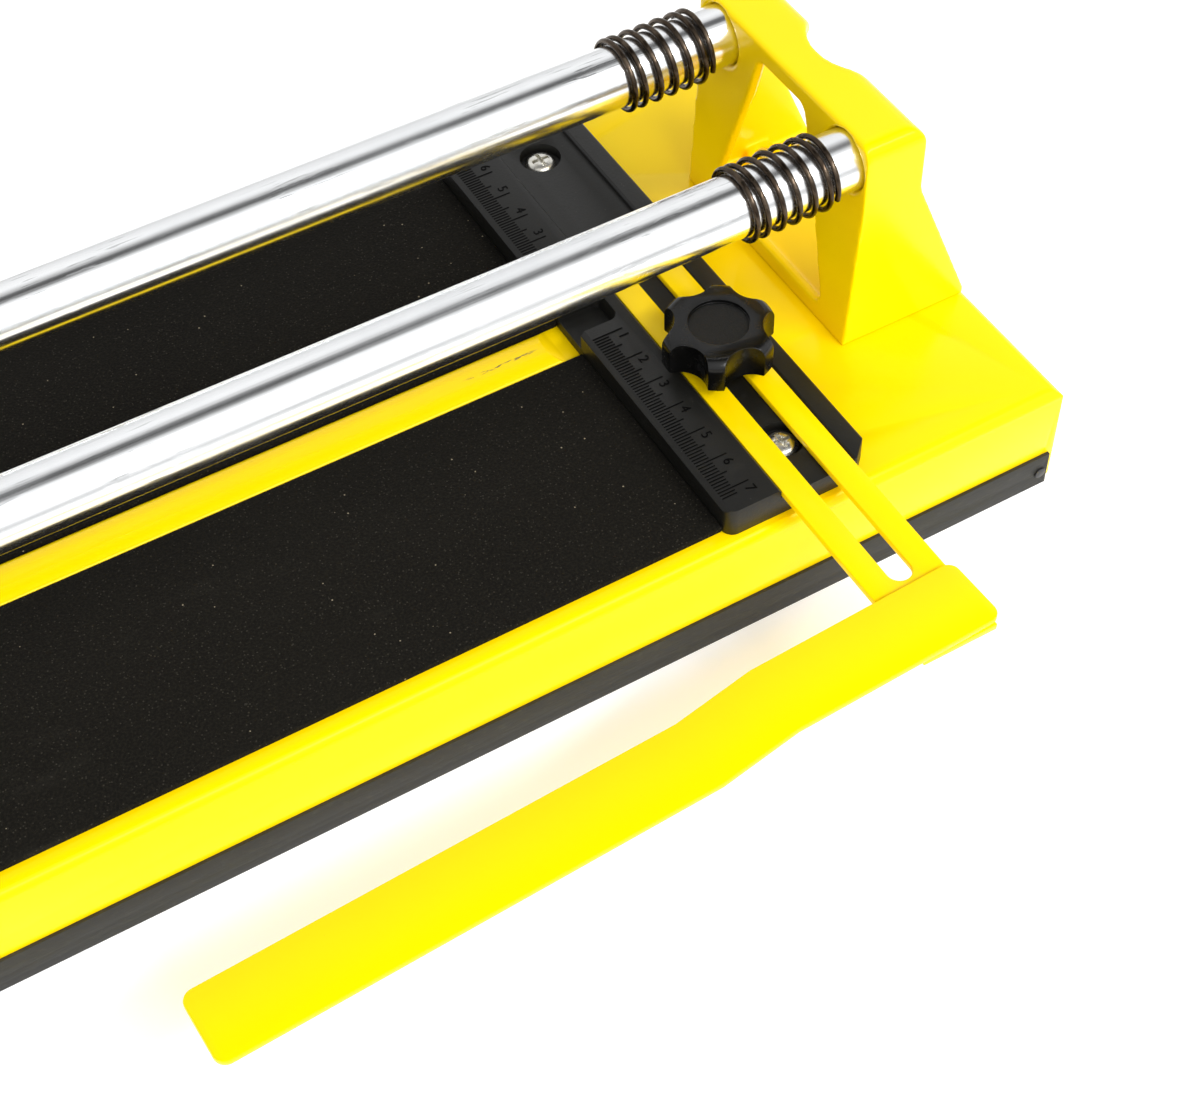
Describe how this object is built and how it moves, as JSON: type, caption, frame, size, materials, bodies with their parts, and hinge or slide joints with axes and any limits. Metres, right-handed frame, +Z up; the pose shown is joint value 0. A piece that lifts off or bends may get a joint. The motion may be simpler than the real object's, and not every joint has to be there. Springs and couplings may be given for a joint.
{
  "type": "tile cutter",
  "caption": "Manual rail tile cutter: folded steel base with rubber pads, twin round rails on end brackets, sliding scoring lever, ruled fence and side stop.",
  "frame": {"origin": "middle of the base's footprint, on the bench under the rubber strips", "axes": "+X along the rails towards the fence, +Y across the base to the rear, away from the side stop, +Z up"},
  "size_m": [0.6908, 0.2245, 0.2384],
  "materials": {
    "yellow_paint": "gloss, lightly worn",
    "pad_rubber": "fine-grained foam rubber",
    "strip_rubber": "matt",
    "black_moulding": "satin",
    "knob_plastic": "satin",
    "zinc": "zinc plated",
    "rail_chrome": "polished",
    "spring_steel": "dark bronze",
    "black_paint": "satin",
    "bush_plastic": "smooth",
    "grip_rubber": "matt",
    "wheel_steel": "ground"
  },
  "bodies": {
    "base": {"base_plate": "yellow_paint", "pad_front": "pad_rubber", "pad_rear": "pad_rubber", "strip_front": "strip_rubber", "strip_rear": "strip_rubber", "rivet_front_right": "black_paint", "rivet_front_left": "black_paint", "rivet_rear_right": "black_paint", "rivet_rear_left": "black_paint", "fence": "black_moulding", "fence_screw_front": "zinc", "fence_screw_rear": "zinc", "clamp_bolt": "zinc", "bracket_right": "yellow_paint", "bracket_left": "yellow_paint", "bracket_screw_fr": "zinc", "bracket_screw_rr": "zinc", "bracket_screw_fl": "zinc", "bracket_screw_rl": "zinc", "rail_front": "rail_chrome", "rail_rear": "rail_chrome", "spring_fr": "spring_steel", "spring_rr": "spring_steel", "spring_fl": "spring_steel", "spring_rl": "spring_steel", "clamp_washer": "zinc"},
    "side_stop": {"stop_arm": "yellow_paint", "stop_bar": "yellow_paint"},
    "knob": {"knob": "knob_plastic"},
    "carriage": {"carriage": "black_paint", "bush_fr": "bush_plastic", "bush_rr": "bush_plastic", "bush_fl": "bush_plastic", "bush_rl": "bush_plastic", "pivot_pin": "zinc", "pin_nut": "zinc"},
    "lever": {"lever": "black_paint", "handle_tube": "rail_chrome", "handle_grip": "grip_rubber", "wheel_axle": "zinc", "axle_nut": "zinc", "foot_pin": "zinc"},
    "wheel": {"wheel": "wheel_steel"},
    "foot": {"foot": "black_paint", "foot_pad_front": "grip_rubber", "foot_pad_rear": "grip_rubber"}
  },
  "joints": [
    {"name": "carriage_slide", "type": "slide", "parent": "base", "child": "carriage", "axis": [1, 0, 0], "range_m": [-0.0047, 0.3847]},
    {"name": "handle_pivot", "type": "hinge", "parent": "carriage", "child": "lever", "pos_m": [-0.194, 0, 0.109], "axis": [0, 1, 0], "range_deg": [-17, 22]},
    {"name": "wheel_spin", "type": "hinge", "parent": "lever", "child": "wheel", "pos_m": [-0.172, 0, 0.055], "axis": [0, 1, 0], "continuous": true},
    {"name": "foot_swivel", "type": "hinge", "parent": "lever", "child": "foot", "pos_m": [-0.212, 0, 0.056], "axis": [0, 1, 0], "range_deg": [-24, 24]},
    {"name": "stop_slide", "type": "slide", "parent": "base", "child": "side_stop", "axis": [0, 1, 0], "range_m": [-0.035, 0.0385]},
    {"name": "knob_turn", "type": "hinge", "parent": "base", "child": "knob", "pos_m": [0.2255, -0.0314, 0.05], "axis": [0, 0, 1], "range_deg": [0, 360]}
  ]
}
